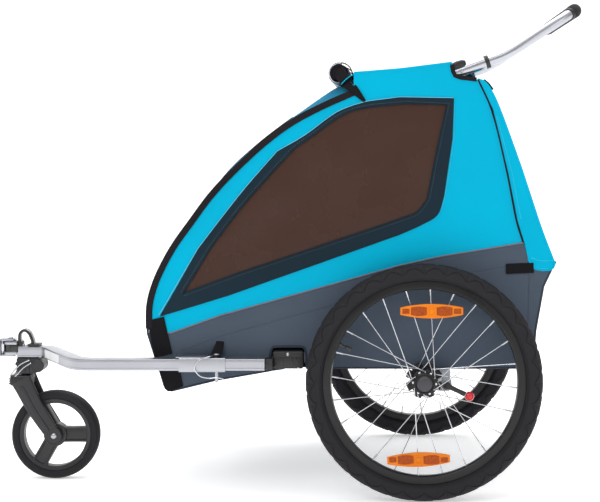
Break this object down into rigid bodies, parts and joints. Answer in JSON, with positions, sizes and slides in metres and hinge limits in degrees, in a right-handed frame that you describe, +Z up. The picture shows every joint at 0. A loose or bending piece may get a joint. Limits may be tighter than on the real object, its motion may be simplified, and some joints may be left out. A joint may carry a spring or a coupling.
{
  "type": "child bicycle trailer",
  "caption": "Two-wheel fabric cabin trailer with side windows, tow arm with hitch coupling, clip-on caster, parking brake and push bar; frame folds flat.",
  "frame": {"origin": "middle of the overall length and width, on the ground under the wheels", "axes": "+X to the rear (push bar end), -X in the direction of travel, -Y the trailer's left (tow arm) side, +Z up"},
  "size_m": [1.2984, 0.808, 1.0605],
  "materials": {
    "blue_fabric": "woven polyester, matt, slight sheen",
    "front_cover_fabric": "woven polyester with a black mesh panel",
    "grey_fabric": "woven polyester, matt",
    "black_fabric": "rolled mesh and clear film",
    "seat_fabric": "padded woven",
    "webbing": "woven webbing",
    "tinted_film": "tinted clear film",
    "aluminium": "satin anodised",
    "steel": "zinc plated",
    "black_plastic": "moulded glass-filled nylon",
    "cap_plastic": "moulded plastic",
    "red_plastic": "gloss moulded knob",
    "tyre_rubber": "treaded rubber",
    "black_alloy": "black anodised",
    "foam_grip": "closed-cell foam"
  },
  "bodies": {
    "root": {"floor_rail_left": "aluminium", "floor_rail_right": "aluminium", "front_cross_tube": "aluminium", "rear_cross_tube": "aluminium", "floor_panel": "grey_fabric", "axle_beam": "steel", "axle_receiver_left": "black_plastic", "axle_receiver_right": "black_plastic", "brake_bracket_left": "steel", "brake_bracket_right": "steel", "tub_side_left": "grey_fabric", "tub_side_right": "grey_fabric", "tub_front": "grey_fabric", "tub_rear": "grey_fabric", "canopy_side_left": "blue_fabric", "canopy_side_right": "blue_fabric", "window_left": "tinted_film", "window_right": "tinted_film", "canopy_roof": "blue_fabric", "rolled_rain_cover": "black_fabric", "seat_base": "seat_fabric", "seat_back": "seat_fabric", "harness_left": "webbing", "harness_right": "webbing", "tow_arm": "aluminium", "arm_receiver": "aluminium", "arm_anchor": "black_plastic", "tow_coupling": "black_plastic", "safety_strap": "webbing", "steering_head": "black_plastic"},
    "wheel_left": {"tyre_left": "tyre_rubber", "rim_left": "black_alloy", "hub_left": "steel"},
    "wheel_right": {"tyre_right": "tyre_rubber", "rim_right": "black_alloy", "hub_right": "steel"},
    "hub_button_left": {"hub_button_left": "cap_plastic"},
    "hub_button_right": {"hub_button_right": "cap_plastic"},
    "upper_frame": {"bow_left": "aluminium", "bow_right": "aluminium", "top_cross_tube": "aluminium"},
    "socket_button_left": {"socket_button_left": "steel"},
    "socket_button_right": {"socket_button_right": "steel"},
    "rear_legs": {"rear_leg_left": "aluminium", "rear_leg_right": "aluminium", "leg_cross_tube": "aluminium"},
    "push_bar": {"push_bar": "aluminium", "push_bar_grip": "foam_grip"},
    "front_cover": {"front_cover": "front_cover_fabric"},
    "rear_cover": {"rear_cover": "blue_fabric"},
    "caster_fork": {"caster_fork": "black_plastic"},
    "caster_wheel": {"caster_tyre": "tyre_rubber", "caster_rim": "black_plastic"},
    "brake_lever": {"brake_lever": "black_plastic", "brake_knob": "red_plastic"},
    "brake_pin_left": {"brake_pin_left": "steel"},
    "brake_pin_right": {"brake_pin_right": "steel"},
    "hitch_pin": {"hitch_pin": "steel"},
    "hitch_pin_clip": {"hitch_pin_clip": "steel"},
    "coupling_yoke": {"coupling_yoke": "steel"}
  },
  "joints": [
    {"name": "wheel_left_spin", "type": "hinge", "parent": "root", "child": "wheel_left", "pos_m": [0.29875, -0.37, 0.25], "axis": [0, 1, 0], "continuous": true},
    {"name": "wheel_right_spin", "type": "hinge", "parent": "root", "child": "wheel_right", "pos_m": [0.29875, 0.37, 0.25], "axis": [0, 1, 0], "continuous": true},
    {"name": "hub_button_left_press", "type": "slide", "parent": "wheel_left", "child": "hub_button_left", "axis": [0, 1, 0], "range_m": [0, 0.003], "stiffness_N_per_m": 400},
    {"name": "hub_button_right_press", "type": "slide", "parent": "wheel_right", "child": "hub_button_right", "axis": [0, -1, 0], "range_m": [0, 0.003], "stiffness_N_per_m": 400},
    {"name": "frame_fold", "type": "hinge", "parent": "root", "child": "upper_frame", "pos_m": [-0.23625, 0, 0.285], "axis": [0, 1, 0], "range_deg": [0, 42], "deforming": ["canopy_side_left", "canopy_side_right", "window_left", "window_right", "canopy_roof", "rolled_rain_cover", "front_cover", "rear_cover", "tub_side_left", "tub_side_right", "tub_front", "tub_rear", "seat_base", "seat_back", "harness_left", "harness_right"]},
    {"name": "leg_fold", "type": "hinge", "parent": "root", "child": "rear_legs", "pos_m": [0.39375, 0, 0.308], "axis": [0, -1, 0], "range_deg": [0, 89]},
    {"name": "push_bar_pull", "type": "slide", "parent": "upper_frame", "child": "push_bar", "axis": [0.9401, 0, 0.3408], "range_m": [0, 0.06]},
    {"name": "socket_button_left_press", "type": "slide", "parent": "upper_frame", "child": "socket_button_left", "axis": [0, 1, 0], "range_m": [0, 0.0018], "stiffness_N_per_m": 300},
    {"name": "socket_button_right_press", "type": "slide", "parent": "upper_frame", "child": "socket_button_right", "axis": [0, -1, 0], "range_m": [0, 0.0018], "stiffness_N_per_m": 300},
    {"name": "front_cover_open", "type": "hinge", "parent": "root", "child": "front_cover", "pos_m": [0.10175, 0, 0.868], "axis": [0, 1, 0], "range_deg": [0, 70]},
    {"name": "rear_cover_open", "type": "hinge", "parent": "root", "child": "rear_cover", "pos_m": [0.41875, 0, 0.89], "axis": [0, -1, 0], "range_deg": [0, 55]},
    {"name": "caster_swivel", "type": "hinge", "parent": "root", "child": "caster_fork", "pos_m": [-0.58625, -0.14, 0.22], "axis": [0, 0, 1], "continuous": true},
    {"name": "caster_spin", "type": "hinge", "parent": "caster_fork", "child": "caster_wheel", "pos_m": [-0.52425, -0.14, 0.0985], "axis": [0, 1, 0], "continuous": true},
    {"name": "brake_press", "type": "hinge", "parent": "root", "child": "brake_lever", "pos_m": [0.34675, -0.338, 0.238], "axis": [0, 1, 0], "range_deg": [0, 25]},
    {"name": "brake_pin_left_slide", "type": "slide", "parent": "root", "child": "brake_pin_left", "axis": [0, -1, 0], "range_m": [0, 0.0075]},
    {"name": "brake_pin_right_slide", "type": "slide", "parent": "root", "child": "brake_pin_right", "axis": [0, 1, 0], "range_m": [0, 0.0075]},
    {"name": "hitch_pin_lift", "type": "slide", "parent": "root", "child": "hitch_pin", "axis": [0, 0, 1], "range_m": [0, 0.06]},
    {"name": "clip_swing", "type": "hinge", "parent": "hitch_pin", "child": "hitch_pin_clip", "pos_m": [-0.14525, -0.349, 0.303], "axis": [-1, 0, 0], "range_deg": [0, 100]},
    {"name": "coupling_yaw", "type": "hinge", "parent": "root", "child": "coupling_yoke", "pos_m": [-0.62725, -0.14, 0.2935], "axis": [0, 0, 1], "range_deg": [-60, 60]}
  ],
  "couplings": [
    {"joint": "leg_fold", "follows": "frame_fold", "ratio": 2.1},
    {"joint": "brake_pin_left_slide", "follows": "brake_press", "m_per_rad": 0.016},
    {"joint": "brake_pin_right_slide", "follows": "brake_press", "m_per_rad": 0.016}
  ]
}
